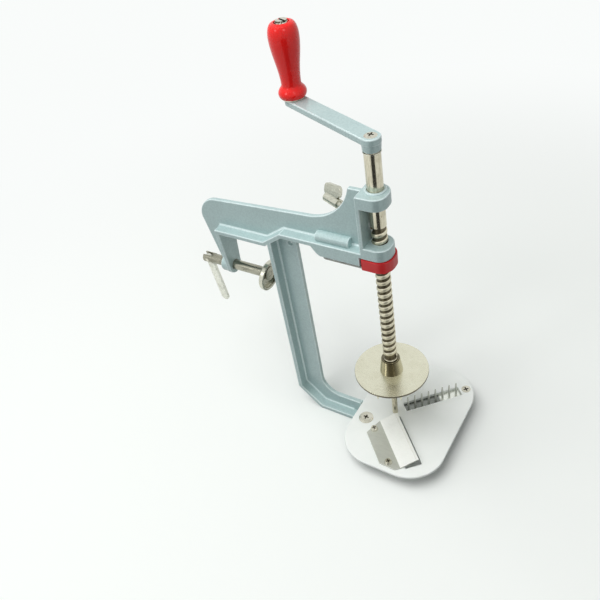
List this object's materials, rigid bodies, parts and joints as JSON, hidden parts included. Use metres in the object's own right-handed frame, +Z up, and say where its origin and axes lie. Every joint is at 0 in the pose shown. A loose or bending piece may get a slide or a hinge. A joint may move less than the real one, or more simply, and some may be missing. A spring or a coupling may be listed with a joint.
{
  "type": "hand-cranked rotary slicer",
  "caption": "Table-clamp rotary vegetable slicer: cast C-frame, cranked feed screw with a pronged pusher disc, and a plate with a slicing blade and a scoring comb.",
  "frame": {"origin": "on the spindle axis, in the face of the foot that the tool stands on", "axes": "+Z up along the spindle, -X along the arm towards the table clamp, -Y towards the viewer's side"},
  "size_m": [0.2397, 0.13, 0.3554],
  "materials": {
    "hammer_paint": "blue-grey hammer-tone paint over an aluminium casting",
    "nickel": "warm nickel plate on steel",
    "steel": "bright zinc-plated steel",
    "blade_steel": "satin stainless sheet",
    "red_lacquer": "glossy red",
    "red_plastic": "satin red",
    "white_plastic": "satin white plastic",
    "brass": "plain brass"
  },
  "bodies": {
    "frame": {"frame": "hammer_paint", "blade_plate": "white_plastic", "plate_screws": "steel", "screw_cups": "steel", "slicing_blade": "blade_steel", "blade_screws": "steel", "comb_bar": "blade_steel", "comb_teeth": "blade_steel", "comb_screw": "steel", "corer": "nickel", "corer_nut": "steel", "lever_screw": "steel"},
    "crank_washer": {"crank_washer": "steel"},
    "spindle": {"spindle": "nickel", "crank_arm": "hammer_paint", "crank_screw": "steel", "grip_bolt": "steel", "grip_washer": "steel", "pusher_disc": "nickel", "disc_hub": "nickel", "disc_screw": "steel", "prongs": "nickel"},
    "grip": {"grip": "red_lacquer"},
    "release_lever": {"release_lever": "blade_steel", "nut_cap": "red_plastic", "half_nut": "brass", "cap_rivets": "steel"},
    "pad_ring": {"pad_ring": "steel"},
    "clamp_screw": {"clamp_screw": "nickel", "handle_rivet": "steel"},
    "clamp_pad": {"clamp_pad": "nickel"},
    "clamp_handle": {"clamp_handle": "nickel"},
    "lock_plug": {"lock_plug": "brass"},
    "wing_screw": {"wing_screw": "nickel"}
  },
  "joints": [
    {"name": "feed_slide", "type": "slide", "parent": "frame", "child": "crank_washer", "axis": [0, 0, 1], "range_m": [-0.0283, 0.0955]},
    {"name": "crank_turn", "type": "hinge", "parent": "crank_washer", "child": "spindle", "pos_m": [0, 0, 0.29], "axis": [0, 0, 1], "range_deg": [-1545, 5250]},
    {"name": "grip_spin", "type": "hinge", "parent": "spindle", "child": "grip", "pos_m": [-0.08222, 0.03661, 0.327], "axis": [0, 0, 1], "continuous": true},
    {"name": "lever_swing", "type": "hinge", "parent": "frame", "child": "release_lever", "pos_m": [-0.04, -0.0032, 0.195], "axis": [0, 0, 1], "range_deg": [0, 4.2], "stiffness_Nm_per_rad": 1.5, "springref_deg": -1.72},
    {"name": "clamp_feed", "type": "slide", "parent": "frame", "child": "pad_ring", "axis": [1, 0, 0], "range_m": [-0.0219, 0.003]},
    {"name": "clamp_turn", "type": "hinge", "parent": "pad_ring", "child": "clamp_screw", "pos_m": [-0.13, -0.0032, 0.1516], "axis": [1, 0, 0], "range_deg": [-3900, 535]},
    {"name": "pad_tilt", "type": "hinge", "parent": "pad_ring", "child": "clamp_pad", "pos_m": [-0.1119, -0.0032, 0.1502], "axis": [0, 1, 0], "range_deg": [-14, 0]},
    {"name": "handle_fold", "type": "hinge", "parent": "clamp_screw", "child": "clamp_handle", "pos_m": [-0.176, -0.0032, 0.1516], "axis": [0, 0.9945, 0.1045], "range_deg": [0, 180]},
    {"name": "lock_feed", "type": "slide", "parent": "frame", "child": "lock_plug", "axis": [-0.9171, 0.3987, 0], "range_m": [-0.0006, 0.0064]},
    {"name": "lock_turn", "type": "hinge", "parent": "lock_plug", "child": "wing_screw", "pos_m": [-0.04952, 0.02153, 0.2235], "axis": [-0.9171, 0.3987, 0], "range_deg": [-175, 2150]}
  ],
  "couplings": [
    {"joint": "feed_slide", "follows": "crank_turn", "m_per_rad": 0.0010345},
    {"joint": "clamp_feed", "follows": "clamp_turn", "m_per_rad": 0.00031831},
    {"joint": "lock_feed", "follows": "lock_turn", "m_per_rad": 0.00015915}
  ]
}
